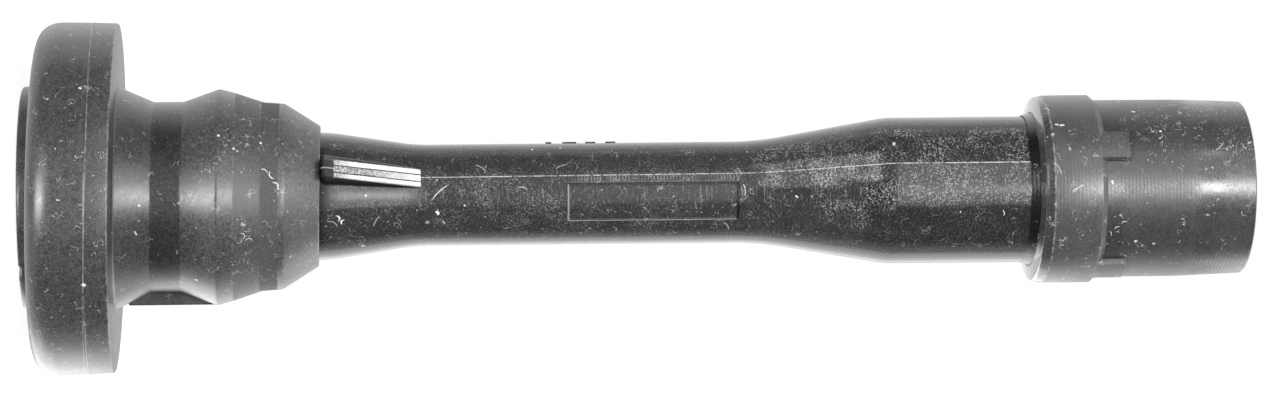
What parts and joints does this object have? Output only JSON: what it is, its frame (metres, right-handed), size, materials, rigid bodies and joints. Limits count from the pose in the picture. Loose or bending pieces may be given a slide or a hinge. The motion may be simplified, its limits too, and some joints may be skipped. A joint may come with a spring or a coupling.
{
  "type": "ignition coil boot",
  "caption": "Rigid insulating tube with a rubber flange seal at the coil end and a rubber plug boot at the other, with a contact spring down its bore.",
  "frame": {"origin": "centre of the tube's end face at the coil end, on which the part stands", "axes": "+Z along the tube's axis towards the spark plug end, -Y towards the side with the raised panel"},
  "size_m": [0.0476, 0.0476, 0.1661],
  "materials": {
    "tube_plastic": "glossy black thermoset with dust and fine scratches",
    "seal_rubber": "matte dark grey silicone rubber",
    "boot_rubber": "satin dark grey silicone rubber",
    "spring_steel": "bright drawn wire"
  },
  "bodies": {
    "root": {"housing_tube": "tube_plastic", "coil_seal": "seal_rubber", "plug_boot": "boot_rubber", "contact_spring": "spring_steel"}
  },
  "joints": []
}
